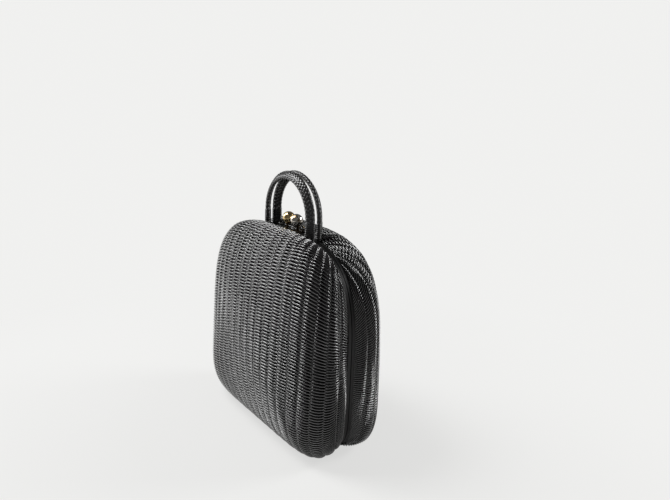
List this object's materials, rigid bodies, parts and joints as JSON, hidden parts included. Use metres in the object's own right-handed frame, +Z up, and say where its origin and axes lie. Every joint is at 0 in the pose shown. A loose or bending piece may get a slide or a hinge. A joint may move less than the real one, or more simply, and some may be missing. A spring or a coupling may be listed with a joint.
{
  "type": "wicker handbag",
  "caption": "Black wicker clamshell handbag with rounded woven halves hinged at the bottom, a kiss-lock clasp with gold and silver balls, and arched wrapped handles.",
  "frame": {"origin": "on the ground under the middle of the bag, in the plane of the seam", "axes": "+X across the bag, +Y from its front half to its back half, +Z up through the handles"},
  "size_m": [0.2764, 0.1412, 0.3338],
  "materials": {
    "wicker": "black lacquered fine reed, glossy, woven",
    "black_frame": "black enamelled metal, satin, worn at the edge",
    "lining_cloth": "plain black cotton lining",
    "steel_rod": "plain drawn rod",
    "patent_wrap": "black patent strip, plaited, high gloss",
    "fitting_steel": "darkened steel fittings",
    "clasp_metal": "dark aged brass",
    "gold_ball": "polished gold-toned brass",
    "silver_ball": "polished nickel"
  },
  "bodies": {
    "back_half": {"back_woven_shell": "wicker", "back_frame_hoop": "black_frame", "back_lining": "lining_cloth", "back_handle_core": "steel_rod", "back_handle_wrap": "patent_wrap", "back_handle_anchor_plates": "fitting_steel", "back_handle_anchor_nuts": "fitting_steel", "back_handle_anchor_screws": "fitting_steel", "back_clasp_arm": "clasp_metal", "back_clasp_ball": "silver_ball", "back_clasp_rivets": "clasp_metal", "back_hinge_leaves": "fitting_steel", "back_hinge_rivets": "fitting_steel", "hinge_pins": "fitting_steel"},
    "front_half": {"front_woven_shell": "wicker", "front_frame_hoop": "black_frame", "front_lining": "lining_cloth", "front_handle_core": "steel_rod", "front_handle_wrap": "patent_wrap", "front_handle_anchor_plates": "fitting_steel", "front_handle_anchor_nuts": "fitting_steel", "front_handle_anchor_screws": "fitting_steel", "front_clasp_arm": "clasp_metal", "front_clasp_ball": "gold_ball", "front_clasp_rivets": "clasp_metal", "front_hinge_leaves": "fitting_steel", "front_hinge_rivets": "fitting_steel"}
  },
  "joints": [
    {"name": "clamshell_hinge", "type": "hinge", "parent": "back_half", "child": "front_half", "pos_m": [0, 0, 0.00265], "axis": [1, 0, 0], "range_deg": [0, 75]}
  ]
}
